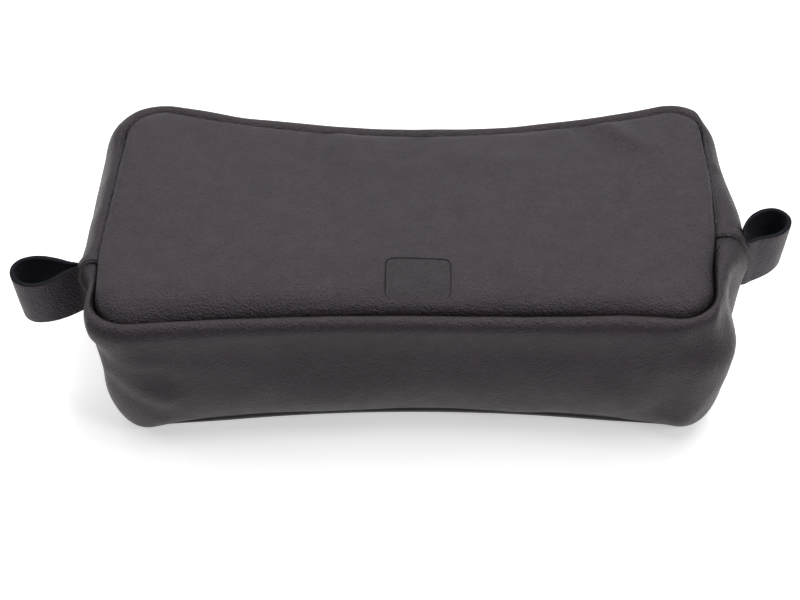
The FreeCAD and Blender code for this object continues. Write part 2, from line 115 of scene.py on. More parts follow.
bpy.context.scene.view_settings.view_transform = "Standard"
bpy.ops.object.select_all(action="DESELECT")
bpy.ops.mesh.primitive_plane_add(size=TABLE_SIZE, location=(0, 0, 0))
table = bpy.context.object
table.name = "table_top"
white_acrylic, shader = blank_material("white_acrylic_light_table")
shader.inputs["Base Color"].default_value = linear("#F1F0F0")
shader.inputs["Roughness"].default_value = 0.6
shader.inputs["Emission Color"].default_value = linear("#FFFFFF")
across = node(white_acrylic, "ShaderNodeTexCoord").outputs["Object"]
reach = node(white_acrylic, "ShaderNodeVectorMath", {0: across}, operation="LENGTH")
glow = node(white_acrylic, "ShaderNodeMapRange", {"Value": reach.outputs["Value"]},
            interpolation_type="SMOOTHSTEP")
for name, value in zip(("From Min", "From Max", "To Min", "To Max"), (*GLOW_FADES, TABLE_GLOW, RIM_GLOW)):
    glow.inputs[name].default_value = value
white_acrylic.node_tree.links.new(glow.outputs["Result"], shader.inputs["Emission Strength"])
table.data.materials.append(white_acrylic)

softbox("softbox_behind", (0.1, 0.74, 0.97), (0, 0, 0.03), (1.9, 0.72), 9.0)
softbox("softbox_over", (0.22, 0.0, 1.2), (0, 0, 0.03), (0.8, 0.36), 5.0)
softbox("softbox_left", (-1.2, 0.3, 0.5), (0, 0, 0.03), (0.6, 0.6), 3.0)
softbox("softbox_right", (0.75, -0.55, 0.75), (0.05, 0, 0.03), (0.3, 0.3), 2.6)

world = bpy.data.worlds.new("pale_room")
bpy.context.scene.world = world
world.use_nodes = True
direction = node(world, "ShaderNodeTexCoord").outputs["Generated"]
facing = node(world, "ShaderNodeVectorMath", {0: direction}, operation="DOT_PRODUCT")
facing.inputs[1].default_value = (0, 0.75, 0.66)
brightness = node(world, "ShaderNodeMapRange", {"Value": facing.outputs["Value"]},
                  interpolation_type="SMOOTHSTEP")
for name, value in (("From Min", 0.1), ("From Max", 0.95), ("To Min", 0.22), ("To Max", 0.92)):
    brightness.inputs[name].default_value = value
background = world.node_tree.nodes["Background"]
background.inputs["Color"].default_value = linear("#FDFBFF")
world.node_tree.links.new(brightness.outputs["Result"], background.inputs["Strength"])

camera = placed("camera", bpy.data.cameras.new("camera"))
view_from = Vector((0, -math.cos(CAMERA_ELEVATION), math.sin(CAMERA_ELEVATION)))
camera.location = CAMERA_TARGET + view_from * CAMERA_DISTANCE
camera.rotation_euler = (-view_from).to_track_quat("-Z", "Y").to_euler()
camera.data.lens = CAMERA_LENS
camera.data.sensor_width = 36.0
camera.data.shift_x, camera.data.shift_y = CAMERA_SHIFT
bpy.context.scene.camera = camera


# ---- Plain gusset ----
# One strip of smooth full-grain cowhide, 1.6 mm thick, that forms the long plain wall and both near corners.
# It is sewn to the panels inside out and turned, so its edges roll in to the seams and its wall hangs soft.

MM = 0.001
LEATHER = 1.6
WAIST = 8.0              # how far the middle of each long wall bows in
SEAM_INSET = 11.5        # front seam inside the widest outline
CORNER = 24.7            # corner radius of the widest outline
COLUMN_STEP = 1.6        # along the outline
ROWS_PER_SPAN = 3
front_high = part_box("front_panel_flap")[1]
TOP = front_high.z / MM
HALF_LENGTH = front_high.x / MM + SEAM_INSET
HALF_DEPTH = front_high.y / MM + SEAM_INSET
LEFT_SEAM, RIGHT_SEAM = [
    sum(corner.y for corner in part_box(side + "_loop_tail")) / 2 / MM for side in ("left", "right")]
CORNER_X = HALF_LENGTH - CORNER
CORNER_Y = HALF_DEPTH - CORNER
SIDE = (CORNER_X ** 2 + WAIST ** 2) / (2 * WAIST) - CORNER
SIDE_ANGLE = math.asin(CORNER_X / (SIDE + CORNER))


def stretches(inset):
    """(length, turn radius) of each stretch of the outline moved in by inset, clockwise from the left seam."""
    corner = ((CORNER - inset) * (math.pi / 2 + SIDE_ANGLE), CORNER - inset)
    side = ((SIDE + inset) * 2 * SIDE_ANGLE, -(SIDE + inset))
    return [(CORNER_Y - LEFT_SEAM, 0.0), corner, side, corner, (2 * CORNER_Y, 0.0), corner, side, corner,
            (CORNER_Y + LEFT_SEAM, 0.0)]


def walk(path, inset, distance):
    """(x, y, heading) at a distance along such a path."""
    x, y, heading = -(HALF_LENGTH - inset), LEFT_SEAM, math.pi / 2
    for length, radius in path:
        step = min(distance, length)
        if radius == 0.0:
            x, y = x + step * math.cos(heading), y + step * math.sin(heading)
        else:
            turned = heading - step / radius
            x += radius * (math.sin(heading) - math.sin(turned))
            y += radius * (math.cos(turned) - math.cos(heading))
            heading = turned
        distance -= step
        if distance <= 0:
            break
    return x, y, heading


WIDEST = stretches(0.0)
ROUND = sum(length for length, _ in WIDEST)
ZIP_END = sum(length for length, _ in WIDEST[:4]) + CORNER_Y - RIGHT_SEAM


def outline(distance):
    """(x, y, outward x, outward y) on the widest outline, clockwise from the left end seam."""
    x, y, heading = walk(WIDEST, 0.0, distance % ROUND)
    return x, y, -math.sin(heading), math.cos(heading)


# Points of the strip's section, as (inset from the widest outline, height): front seam, lip, wall, foot, back
# seam. Each is for one place round the case: middle of the plain wall, near corners, far wall, end walls.
MIDDLE_SECTION = [(11.5, 54), (11.4, 57.8), (11.0, 60.4), (9.6, 61.9), (7.4, 61.8), (5.5, 60.5), (4.6, 58.2),
                  (4.8, 55.2), (5.6, 51.4), (6.1, 46), (5.0, 38), (3.8, 28.5), (4.9, 20), (7.8, 12.4),
                  (11.4, 7.2), (14.8, 5.4), (16.8, 5.8), (17.3, 8)]
CORNER_SECTION = [(11.5, 54), (11.4, 57.8), (11.1, 60.8), (9.8, 62.6), (7.7, 62.6), (5.8, 61.3), (4.8, 58.8),
                  (4.9, 55.4), (5.4, 51.0), (5.4, 45.0), (5.6, 36.5), (6.6, 27), (7.9, 18.6), (9.8, 10.4),
                  (12.2, 4.4), (15.2, 1.8), (17.2, 3.0), (17.3, 8)]
FAR_SECTION = [(11.5, 55), (11.5, 57.0), (11.3, 59.2), (9.3, 62.2), (6.2, 63.5), (3.4, 61.3), (1.5, 57.0),
               (1.0, 51.0), (2.3, 44), (3.63, 38.8), (4.5, 32.5), (5.37, 26.2), (6.8, 17.5), (8.8, 9.8),
               (11.8, 4.0), (15.0, 1.8), (17.2, 3.0), (17.3, 8)]
END_SECTION = [(11.5, 55), (11.5, 56.4), (11.3, 57.8), (9.5, 60.0), (6.2, 60.4), (3.2, 57.8), (1.1, 53.6),
               (0.6, 48.8), (2.1, 44), (3.63, 38.8), (4.5, 32.5), (5.37, 26.2), (6.8, 17.5), (8.8, 9.8),
               (11.8, 4.0), (15.0, 1.8), (17.2, 3.0), (17.3, 8)]
WINDOW_TOP_POINT = 9     # the section's point at the zip's upper leather edge
WINDOW_FOOT_POINT = 11   # and at its lower one


# Where one section gives way to the next: from one distance on, over another
NEAR_RUN = (3.0, 26.0)       # to the near side of the end seams
CORNER_RUN = (66.0, 46.0)    # along X from the middle
FAR_RUN = (34.0, 20.0)       # along Y from the middle
# How the filled case gives. Its top sags between the corners, least at the near edge, and leans over
TOP_RUN = (40.0, 20.0)       # from one height on, over another
NEAR_SAG = 1.5
FAR_SAG = 7.2
TOP_LEAN = (-1.07, 0.05)     # along X, and the share of Y added to it
# The near left corner tucks in by this share of what stands beyond the panel, and the far right corner draws in
LEFT_TUCK = 0.5
FAR_DRAW = (1.8, 2.8)        # the whole of it, and the gusset's own part
# The right end bulges beside its loop, and the near edge is pulled back towards its corners
RIGHT_BULGE = 3.1
LEFT_PULL = 1.5
RIGHT_PULL = (5.0, 3.0)      # back, and in


def ramp(value, start, run):
    """0 up to start, rising smoothly to 1 over the run after it."""
    t = min(max((value - start) / run, 0.0), 1.0)
    return t * t * (3 - 2 * t)


def nearness(x, y):
    """1 along the plain wall, falling to 0 up the end walls towards the end seams."""
    seam = LEFT_SEAM + (RIGHT_SEAM - LEFT_SEAM) * (x + HALF_LENGTH) / (2 * HALF_LENGTH)
    return ramp(seam - y, *NEAR_RUN)


def middleness(x):
    """1 in the middle of the long walls, falling to 0 at their corners."""
    return 1 - ramp(abs(x), *CORNER_RUN)


def settle(point):
    """Where a point of the case goes as the filled case gives."""
    x, y, z = point
    top = ramp(z, *TOP_RUN)
    along = max(0.0, 1 - (x / 113.0) ** 2)
    sag = along ** 1.2 * (NEAR_SAG + (FAR_SAG - NEAR_SAG) * ramp(y, -62.0, 124.0))
    pulled = ramp(abs(x), 25.0, 85.0) * ramp(-y, 18.0, 34.0) * top
    if x > 0:
        drawn = ramp(x, 80.0, 35.0) * ramp(y, 8.0, 46.0) * (FAR_DRAW[0] + FAR_DRAW[1] * ramp(x, 112.0, 8.0))
        bulge = RIGHT_BULGE * math.exp(-((y + 8.0) / 20.0) ** 2) * ramp(x, 114.5, 7.0) * ramp(z, 10.0, 30.0)
        x += bulge - drawn * ramp(z, 20.0, 30.0) - RIGHT_PULL[1] * pulled * ramp(x, 112.0, 8.0)
        back = RIGHT_PULL[0] * pulled
    else:
        x += LEFT_TUCK * max(0.0, -x - 113.5) * ramp(-y, 20.0, 18.0) * ramp(z, 12.0, 24.0)
        back = LEFT_PULL * pulled
    return Vector((x + (TOP_LEAN[0] + TOP_LEAN[1] * y) * top, y + back, z - sag * top))


def smooth_line(points, steps):
    """A smooth curve through flat points, with a number of steps to each span."""
    ends = [points[0]] + points + [points[-1]]
    line = []
    for i in range(1, len(ends) - 2):
        a, b, c, d = [Vector(p) for p in ends[i - 1:i + 3]]
        for k in range(steps):
            t = k / steps
            line.append(0.5 * (2 * b + (c - a) * t + (2 * a - 5 * b + 4 * c - d) * t * t
                               + (3 * b - 3 * c + d - a) * t ** 3))
    return line + [Vector(points[-1])]


# Soft folds, each a line from point to point with a half width and a height; a negative height is a valley
FOLDS = [
    ((-114, -56, 50), (-88, -64, 34), 3.6, -1.5),
    ((-116, -50, 44), (-92, -64, 27), 4.5, 1.3),
    ((-110, -58, 34), (-94, -62, 18), 4.0, -0.9),
    ((-100, -62, 46), (-66, -60, 42), 6.0, 0.6),
    ((116, -50, 52), (101, -60, 12), 4.5, 1.5),
    ((106, -60, 56), (92, -62, 20), 5.5, -1.3),
    ((121, -30, 54), (117, -48, 24), 4.5, -1.2),
    ((124, -16, 50), (121, -30, 26), 5.0, 1.0),
    ((116, 4, 60), (119, 26, 60), 4.0, -1.2),
    ((40, -58, 40), (78, -60, 26), 9.0, 0.7),
    ((-40, -56, 22), (20, -56, 30), 11.0, 0.7),
    ((-120, 10, 56), (-119, 40, 54), 5.0, -0.9),
]


def folds_at(point, folds):
    """The folds' height at a point."""
    height = 0.0
    for start, end, width, rise in folds:
        a, b = Vector(start), Vector(end)
        t = min(max((point - a).dot(b - a) / (b - a).length_squared, 0.0), 1.0)
        height += rise * math.exp(-((point - a - (b - a) * t).length / width) ** 2)
    return height


# Size and height of the swells, and of the finer ones on them
BROAD = (34.0, 0.8)
FINE = (13.0, 0.25)


def slack(point):
    """The slight unevenness of soft leather over soft contents."""
    broad = noise.noise(point / BROAD[0])
    fine = noise.noise(point / FINE[0] + Vector((7.1, 3.3, 5.7)))
    return BROAD[1] * broad + FINE[1] * fine


MIDDLE_ROWS, CORNER_ROWS, FAR_ROWS, END_ROWS = [
    smooth_line(points, ROWS_PER_SPAN) for points in (MIDDLE_SECTION, CORNER_SECTION, FAR_SECTION, END_SECTION)]
LAST_ROW = len(END_ROWS) - 1
STILL_ROWS = 1.8         # beside a strip's edge, where it doesn't swell or fold
FREE_ROWS = 9.0          # over which it then comes free
SEAM_RUN = 14.0          # and along the strip, from an end seam


def section_point(distance, row):
    """A point of the gusset's outer face and the way out of it, before it settles."""
    x, y, out_x, out_y = outline(distance)
    near, middle, far = nearness(x, y), middleness(x), ramp(y, *FAR_RUN)
    before, here, after = [
        END_ROWS[i].lerp(FAR_ROWS[i], far).lerp(CORNER_ROWS[i].lerp(MIDDLE_ROWS[i], middle), near)
        for i in (max(row - 1, 0), row, min(row + 1, LAST_ROW))]
    run = after - before
    inset, z = here
    out = Vector((out_x * -run.y, out_y * -run.y, -run.x)).normalized()
    return Vector((x - inset * out_x, y - inset * out_y, z)), out


def gusset_point(distance, row, first=0, last=LAST_ROW, lift=0.0):
    """A point of a gusset strip between two rows of the section, with no folds at its edges and ends."""
    point, out = section_point(distance, row)
    around = distance % ROUND
    from_seam = min(around, ROUND - around, abs(around - ZIP_END))
    free = min(ramp(min(row - first, last - row), STILL_ROWS, FREE_ROWS), ramp(from_seam, 0.0, SEAM_RUN))
    return settle(point + out * (lift + free * (slack(point) + folds_at(point, FOLDS))))


def wrapped(name, columns, rows, place, middle=Vector((0, 0, 30))):
    """A flat grid cut as one sheet, with its point (column, row) put at place(column, row) in millimetres.

    Its faces are turned to point away from middle."""
    bpy.ops.object.select_all(action="DESELECT")
    bpy.ops.mesh.primitive_grid_add(x_subdivisions=columns, y_subdivisions=rows, size=2.0)
    made = bpy.context.object
    made.name = name
    mesh = made.data
    mesh.name = name
    for vertex in mesh.vertices:
        column = round((vertex.co.x + 1) / 2 * columns)
        row = round((vertex.co.y + 1) / 2 * rows)
        vertex.co = place(column, row) * MM
    bpy.ops.object.mode_set(mode="EDIT")
    bpy.ops.mesh.select_all(action="SELECT")
    bpy.ops.mesh.remove_doubles(threshold=2e-6)
    bpy.ops.object.mode_set(mode="OBJECT")
    centre = middle * MM
    if sum(f.normal.dot(f.center - centre) * f.area for f in mesh.polygons) < 0:
        mesh.flip_normals()
    bpy.ops.object.shade_smooth()
    return made


def pick(piece):
    """Makes a piece the only one selected, and active."""
    bpy.ops.object.select_all(action="DESELECT")
    bpy.context.view_layer.objects.active = piece
    piece.select_set(True)


LEATHER_EDGE = math.radians(50)      # an edge sharper than this is rounded


def thicken(piece, thickness, edge=0.0, cut_edge=False):
    """Gives a sheet its thickness inwards and rounds its edges.

    With cut_edge, its rim and back take the second material."""
    pick(piece)
    wall = piece.modifiers.new("thickness", "SOLIDIFY")
    wall.thickness = thickness * MM
    wall.offset = -1.0
    if cut_edge:
        wall.material_offset = 1
        wall.material_offset_rim = 1
    if "thickness" in piece.vertex_groups:
        wall.vertex_group = "thickness"
    bpy.ops.object.modifier_apply(modifier=wall.name)
    if edge:
        rounding = piece.modifiers.new("edge", "BEVEL")
        rounding.width = edge * MM
        rounding.segments = 3
        rounding.angle_limit = LEATHER_EDGE
        bpy.ops.object.modifier_apply(modifier=rounding.name)
        bpy.ops.object.shade_smooth_by_angle(angle=LEATHER_EDGE)


# The plain pressed blank in the front panel: its middle, half size, corner radius and half its shoulder's width
BLANK_CENTRE = (0.0015, -0.035, 0.0)
BLANK_HALF = (0.012, 0.0095, 0.0)
BLANK_CORNER = 0.003
BLANK_SHOULDER = 0.0004
BLANK_DEPTH = 0.0009


def black_leather(name, dark, light, pressed=False):
    """Smooth full-grain cowhide, drum dyed and lightly waxed: a soft satin sheen over a fine pebble grain."""
    material, shader = blank_material(name)
    links = material.node_tree.links
    place = node(material, "ShaderNodeTexCoord").outputs["Object"]
    warp = node(material, "ShaderNodeTexNoise", {"Vector": place}, Scale=900.0, Detail=2.0)
    offset = node(material, "ShaderNodeVectorMath", {0: warp.outputs["Color"]}, operation="SCALE")
    offset.inputs["Scale"].default_value = 0.0006
    moved = node(material, "ShaderNodeVectorMath", {0: place, 1: offset.outputs[0]}, operation="ADD")
    # real pebbles are about 0.5 mm; they are drawn at 0.7 mm so that they show
    pebbles = node(material, "ShaderNodeTexVoronoi", {"Vector": moved.outputs[0]}, feature="SMOOTH_F1",
                   Scale=1500.0)
    pores = node(material, "ShaderNodeTexNoise", {"Vector": place}, Scale=3200.0, Detail=3.0)
    height = node(material, "ShaderNodeMix", {2: pebbles.outputs["Distance"], 3: pores.outputs["Fac"]})
    height.inputs[0].default_value = 0.35
    creases = node(material, "ShaderNodeTexNoise", {"Vector": place}, Scale=480.0, Detail=3.0, Roughness=0.6)
    rumple = node(material, "ShaderNodeBump", {"Height": creases.outputs["Fac"]},
                  Strength=0.5, Distance=0.0006)
    grain = node(material, "ShaderNodeBump", {"Height": height.outputs[0], "Normal": rumple.outputs["Normal"]},
                 Strength=1.0, Distance=0.00055)
    cloud = node(material, "ShaderNodeTexNoise", {"Vector": place}, Scale=22.0, Detail=4.0)
    tone = node(material, "ShaderNodeValToRGB", {"Fac": cloud.outputs["Fac"]})
    for element, position, colour in zip(tone.color_ramp.elements, (0.3, 0.72), (dark, light)):
        element.position, element.color = position, linear(colour)
    wear = node(material, "ShaderNodeTexNoise", {"Vector": place}, Scale=140.0, Detail=5.0)
    gloss = node(material, "ShaderNodeMapRange", {"Value": wear.outputs["Fac"]})
    for name, value in (("From Min", 0.3), ("From Max", 0.7), ("To Min", 0.42), ("To Max", 0.52)):
        gloss.inputs[name].default_value = value
    colour, normal = tone.outputs["Color"], grain.outputs["Normal"]
    if pressed:
        local = node(material, "ShaderNodeVectorMath", {0: place}, operation="SUBTRACT")
        local.inputs[1].default_value = BLANK_CENTRE
        flat = node(material, "ShaderNodeVectorMath", {0: local.outputs[0]}, operation="MULTIPLY")
        flat.inputs[1].default_value = (1, 1, 0)
        folded = node(material, "ShaderNodeVectorMath", {0: flat.outputs[0]}, operation="ABSOLUTE")
        beyond = node(material, "ShaderNodeVectorMath", {0: folded.outputs[0]}, operation="SUBTRACT")
        beyond.inputs[1].default_value = (BLANK_HALF[0] - BLANK_CORNER, BLANK_HALF[1] - BLANK_CORNER, 0)
        kept = node(material, "ShaderNodeVectorMath", {0: beyond.outputs[0]}, operation="MAXIMUM")
        kept.inputs[1].default_value = (0, 0, 0)
        round_corner = node(material, "ShaderNodeVectorMath", {0: kept.outputs[0]}, operation="LENGTH")
        inside = node(material, "ShaderNodeMapRange", {"Value": round_corner.outputs["Value"]},
                      interpolation_type="SMOOTHSTEP")
        inside.inputs["From Min"].default_value = BLANK_CORNER + BLANK_SHOULDER
        inside.inputs["From Max"].default_value = BLANK_CORNER - BLANK_SHOULDER
        dip = node(material, "ShaderNodeBump", {"Height": inside.outputs["Result"], "Normal": normal},
                   invert=True)
        dip.inputs["Strength"].default_value = 1.0
        dip.inputs["Distance"].default_value = BLANK_DEPTH
        darker = node(material, "ShaderNodeMix", {0: inside.outputs["Result"], 6: colour}, data_type="RGBA")
        darker.inputs[7].default_value = linear("#0C0B0B")
        colour, normal = darker.outputs[2], dip.outputs["Normal"]
    links.new(colour, shader.inputs["Base Color"])
    links.new(gloss.outputs["Result"], shader.inputs["Roughness"])
    links.new(normal, shader.inputs["Normal"])
    shader.inputs["IOR"].default_value = 1.45
    shader.inputs["Specular Tint"].default_value = linear("#FFEFF8")
    return material


BODY_BLACKS = ("#151113", "#1C171A")
LEATHER_FINISH = black_leather("black_full_grain_leather", *BODY_BLACKS)
plain_columns = round((ROUND - ZIP_END) / COLUMN_STEP)
plain_gusset = wrapped("plain_gusset", plain_columns, LAST_ROW, lambda column, row: gusset_point(
    ZIP_END + (ROUND - ZIP_END) * column / plain_columns, row))
plain_gusset.data.materials.append(LEATHER_FINISH)
thicken(plain_gusset, LEATHER)
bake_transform(plain_gusset)
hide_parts("bottom_gusset")


# ---- Back panel ----
# The panel the case lies on, cut from the same hide. Its edge turns up into the back seam all round, and shows
# as a thin strip under the plain gusset where that is drawn up between the corners.

# From the seam to the flat, as (inset from the widest outline, height), and the same in the middle of the wall
BACK_RIM = [(17.35, 8.0), (17.3, 3.8), (16.2, 2.6), (15.9, 1.1), (17.4, 0.1), (20.5, 0.0)]
BACK_RIM_MIDDLE = [(17.35, 8.0), (17.2, 5.6), (15.4, 4.7), (14.3, 2.6), (15.2, 0.5), (20.5, 0.0)]
BACK_RINGS = 10
SPINE = 0.62             # length of the panels' middle line, as a share of their own


def drawn_in(point, share):
    """A point moved in towards the panel's long middle line by a share of the way."""
    return point.lerp(Vector((point.x * SPINE, 0.0, point.z)), share)


panel_count = 2 * round(ROUND / COLUMN_STEP / 2)
PANEL_AT = [-LEFT_SEAM + ROUND * i / panel_count for i in range(panel_count + 1)]


def back_panel_point(column, row):
    x, y, out_x, out_y = outline(PANEL_AT[column])
    drawn_up = nearness(x, y) * middleness(x)
    rim_row = min(row, len(BACK_RIM) - 1)
    inset, z = Vector(BACK_RIM[rim_row]).lerp(Vector(BACK_RIM_MIDDLE[rim_row]), drawn_up)
    point = Vector((x - inset * out_x, y - inset * out_y, z))
    return drawn_in(point, max(0, row - rim_row) / BACK_RINGS)


back_panel = wrapped("back_panel_leather", panel_count, len(BACK_RIM) + BACK_RINGS - 1, back_panel_point)
back_panel.data.materials.append(LEATHER_FINISH)
thicken(back_panel, LEATHER)
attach(back_panel, "case")
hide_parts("back_panel")


# ---- Zip gusset ----
# Two strips of the same hide either side of the zip, from end seam to end seam round the far wall. Their edges
# beside the zip are turned under and topstitched through the tape.


def zip_strip(name, first, last):
    """One strip of the zip gusset between two rows of the section."""
    columns = round(ZIP_END / COLUMN_STEP)
    made = wrapped(name, columns, last - first, lambda column, row: gusset_point(
        ZIP_END * column / columns, first + row, first, last))
    made.data.materials.append(LEATHER_FINISH)
    thicken(made, LEATHER, edge=0.5)
    return made


WINDOW_TOP_ROW = WINDOW_TOP_POINT * ROWS_PER_SPAN
WINDOW_FOOT_ROW = WINDOW_FOOT_POINT * ROWS_PER_SPAN
upper_strip = zip_strip("zip_gusset_upper", 0, WINDOW_TOP_ROW)
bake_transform(upper_strip)
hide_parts("zip_gusset_front")

lower_strip = zip_strip("zip_gusset_lower", WINDOW_FOOT_ROW, LAST_ROW)
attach(lower_strip, "case")
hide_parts("zip_gusset_back")


# ---- Front panel ----
# The upper panel, cut from the best of the hide. Along the plain wall it rounds over into a deep seam. Round
# the ends and the zip side its turned edge stands just proud of the gusset. A plain blank is pressed into it.

# Distance in from the seam and drop below the panel's face, along the plain wall and elsewhere
NEAR_RIM = [(0.05, 10.0), (0.05, 6.4), (0.2, 4.8), (0.6, 3.6), (1.3, 2.6), (2.3, 1.8), (3.6, 1.1), (5.3, 0.55),
            (7.3, 0.2), (9.5, 0.0)]
NEAR_FALL = 1.3              # how much lower the panel comes down towards the near seam
NEAR_FALL_SLANT = -0.006     # and how that changes along X
NEAR_FALL_WIDTH = 18.0       # over this distance from the seam
FAR_RIM = [(0.9, 8.5), (0.5, 5.0), (-0.2, 3.4), (-0.9, 2.5), (-1.1, 1.7), (-0.8, 1.05), (0.1, 0.6), (1.8, 0.3),
           (4.5, 0.1), (9.5, 0.0)]
PANEL_RINGS = 30
PANEL_CROWN = 1.3
CROWN_REACH = (112.0, 56.0)
RIM_DROP = 1.5               # below this the rolled edge has no swells or folds
PANEL_FOLDS = [
    ((74, 54, 65), (92, 36, 65), 4.0, 1.3),
    ((66, 52, 65), (82, 36, 65), 4.5, -1.1),
    ((-84, 44, 65), (-62, 22, 65), 7.0, -1.1),
    ((-38, 54, 65), (-40, 36, 65), 4.5, -1.2),
    ((-30, 50, 65), (-30, 34, 65), 5.0, 0.8),
    ((2, 54, 65), (-2, 38, 65), 4.5, -1.0),
    ((20, 36, 65), (60, 30, 65), 6.0, 0.5),
    ((-70, -22, 65), (20, -26, 65), 5.0, 0.4),
    ((40, -28, 65), (96, -22, 65), 6.0, 0.5),
]


def front_panel_point(column, row):
    x, y, out_x, out_y = outline(PANEL_AT[column])
    rim_row = min(row, len(NEAR_RIM) - 1)
    run, drop = Vector(FAR_RIM[rim_row]).lerp(Vector(NEAR_RIM[rim_row]), nearness(x, y))
    inset = SEAM_INSET + run
    share = max(0, row - rim_row) / PANEL_RINGS
    point = drawn_in(Vector((x - inset * out_x, y - inset * out_y, TOP - drop)), share)
    crown = max(0.0, 1 - (point.x / CROWN_REACH[0]) ** 4) * max(0.0, 1 - (point.y / CROWN_REACH[1]) ** 2)
    near_edge = -(HALF_DEPTH - SEAM_INSET - WAIST * max(0.0, 1 - (point.x / CORNER_X) ** 2))
    fall = NEAR_FALL + NEAR_FALL_SLANT * point.x
    fall *= ramp(near_edge - point.y, -NEAR_FALL_WIDTH, NEAR_FALL_WIDTH)
    free = ramp(-drop, -RIM_DROP, RIM_DROP)
    lift = PANEL_CROWN * crown - fall + free * (slack(point) + folds_at(point, PANEL_FOLDS))
    return settle(point + Vector((0, 0, lift)))


front_panel = wrapped("front_panel_leather", panel_count, len(NEAR_RIM) + PANEL_RINGS - 1, front_panel_point)
front_panel.data.materials.append(black_leather("black_leather_with_pressed_blank", *BODY_BLACKS, pressed=True))
thicken(front_panel, LEATHER)
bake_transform(front_panel)
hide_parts("front_panel_near", "front_panel_flap")


# ---- Seam bindings ----
# Black cotton tape folded over the raw edges of both panel seams inside the case. It shows only when the case
# is open.

BINDING = 0.5
BINDING_HEIGHT = 4.5
FRONT_SEAM_DEPTH = 10.0  # the front seam's raw edges below the panel's face
BACK_SEAM_INSET = 17.3
BACK_SEAM_HEIGHT = 8.0
WAVE_PERIOD = 0.314      # in metres, of a wave texture with scale 1


def woven_cloth(name, colour, thread, sheen):
    """Plain woven cloth: two crossed sets of threads at right angles, painted shade between them, a slight
    fuzz.
    """
    material, shader = blank_material(name)
    links = material.node_tree.links
    place = node(material, "ShaderNodeTexCoord").outputs["Object"]
    height = None
    for axis in ("DIAGONAL", "Z"):
        wave = node(material, "ShaderNodeTexWave", {"Vector": place}, Scale=WAVE_PERIOD / thread,
                    Distortion=1.2)
        wave.bands_direction = axis
        if height is None:
            height = wave.outputs["Fac"]
        else:
            both = node(material, "ShaderNodeMath", {0: height, 1: wave.outputs["Fac"]}, operation="MAXIMUM")
            height = both.outputs[0]
    bump = node(material, "ShaderNodeBump", {"Height": height}, Strength=0.7, Distance=0.00015)
    links.new(bump.outputs["Normal"], shader.inputs["Normal"])
    # Painted shade: the cloth's colour falls to 0.55 of itself where the weave is low, between the threads
    shade = node(material, "ShaderNodeMix", {0: height}, data_type="RGBA")
    shade.inputs[6].default_value = [0.55 * c for c in linear(colour)[:3]] + [1.0]
    shade.inputs[7].default_value = linear(colour)
    links.new(shade.outputs[2], shader.inputs["Base Color"])
    shader.inputs["Roughness"].default_value = 0.85
    shader.inputs["Sheen Weight"].default_value = sheen
    return material


def binding(name, inset, face, inward, seat):
    """Tape folded over a seam's raw edges, which end at height face inside the case."""
    profile = [(-LEATHER - BINDING, -BINDING_HEIGHT), (-LEATHER - BINDING, 0.0), (-LEATHER, BINDING),
               (LEATHER, BINDING), (LEATHER + BINDING, 0.0), (LEATHER + BINDING, -BINDING_HEIGHT)]

    def place(column, row):
        x, y, out_x, out_y = outline(PANEL_AT[column])
        across, along = profile[row]
        at = inset + across
        return seat(Vector((x - at * out_x, y - at * out_y, face + inward * along)))

    made = wrapped(name, panel_count, len(profile) - 1, place)
    made.data.materials.append(CLOTH)
    thicken(made, BINDING)
    return made


CLOTH = woven_cloth("black_cotton_binding", "#1B1B1C", 0.0006, 0.3)
front_binding = binding("front_seam_binding", SEAM_INSET, TOP - FRONT_SEAM_DEPTH, -1, settle)
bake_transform(front_binding)
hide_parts("front_binding_near", "front_binding_flap")

back_binding = binding("back_seam_binding", BACK_SEAM_INSET, BACK_SEAM_HEIGHT, 1, lambda point: point)
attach(back_binding, "case")
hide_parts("back_binding")


# ---- End bands ----
# A narrow lapped strip of the same leather over each end seam, from panel to panel, with its long edges turned
# under and a row of topstitching sunk in a groove along one of them.

BAND_WIDTH = 5.0
BAND_THICKNESS = 1.1
BAND_COLUMNS = 28
BAND_SUNK = 0.15         # into the wall, so that its edges close on it
GROOVE_AT = -0.62        # the stitch line's groove, from -1 to 1 across the band
GROOVE_WIDTH = 0.13      # in the same measure
GROOVE_DEPTH = 0.5
BANDS = {"left": (ROUND - BAND_WIDTH, ROUND), "right": (ZIP_END + BAND_WIDTH, ZIP_END)}


def band_height(t):
    """The band's height over the wall at t, from -1 to 1 across it."""
    groove = GROOVE_DEPTH * math.exp(-((t - GROOVE_AT) / GROOVE_WIDTH) ** 2)
    return BAND_THICKNESS * math.sqrt(max(0.0, 1 - t ** 10)) - BAND_SUNK - groove


def end_band(side):
    far_edge, seam_edge = BANDS[side]

    def place(column, row):
        t = 2 * column / BAND_COLUMNS - 1
        distance = far_edge + (seam_edge - far_edge) * (t + 1) / 2
        return gusset_point(distance, row, lift=band_height(t))

    made = wrapped(side + "_end_band_leather", BAND_COLUMNS, LAST_ROW, place)
    made.data.materials.append(LEATHER_FINISH)
    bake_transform(made)
    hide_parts(side + "_end_band")


end_band("left")
end_band("right")


# ---- Stitching ----
# Waxed black polyester thread, 0.7 mm, at 3.6 mm to the stitch: along both leather edges of the zip and down
# the end bands. Each stitch is a short plump bar, half sunk in the leather.

STITCH = Vector((2.6, 0.45, 0.7))     # along the seam, out of the leather, across the seam
STITCH_PITCH = 3.6
ZIP_STITCH_INSET = 2.0
ZIP_STITCH_LIFT = 0.12   # out of the wall
BAND_STITCH_LIFT = 0.1   # out of the groove
BAND_END_ROWS = 5        # at each end of a band without stitches
LOOP_MARGIN = 1.0        # above and below the loop, the same
ROW_STEPS = 4            # steps to a row in which a band's stitches are laid out


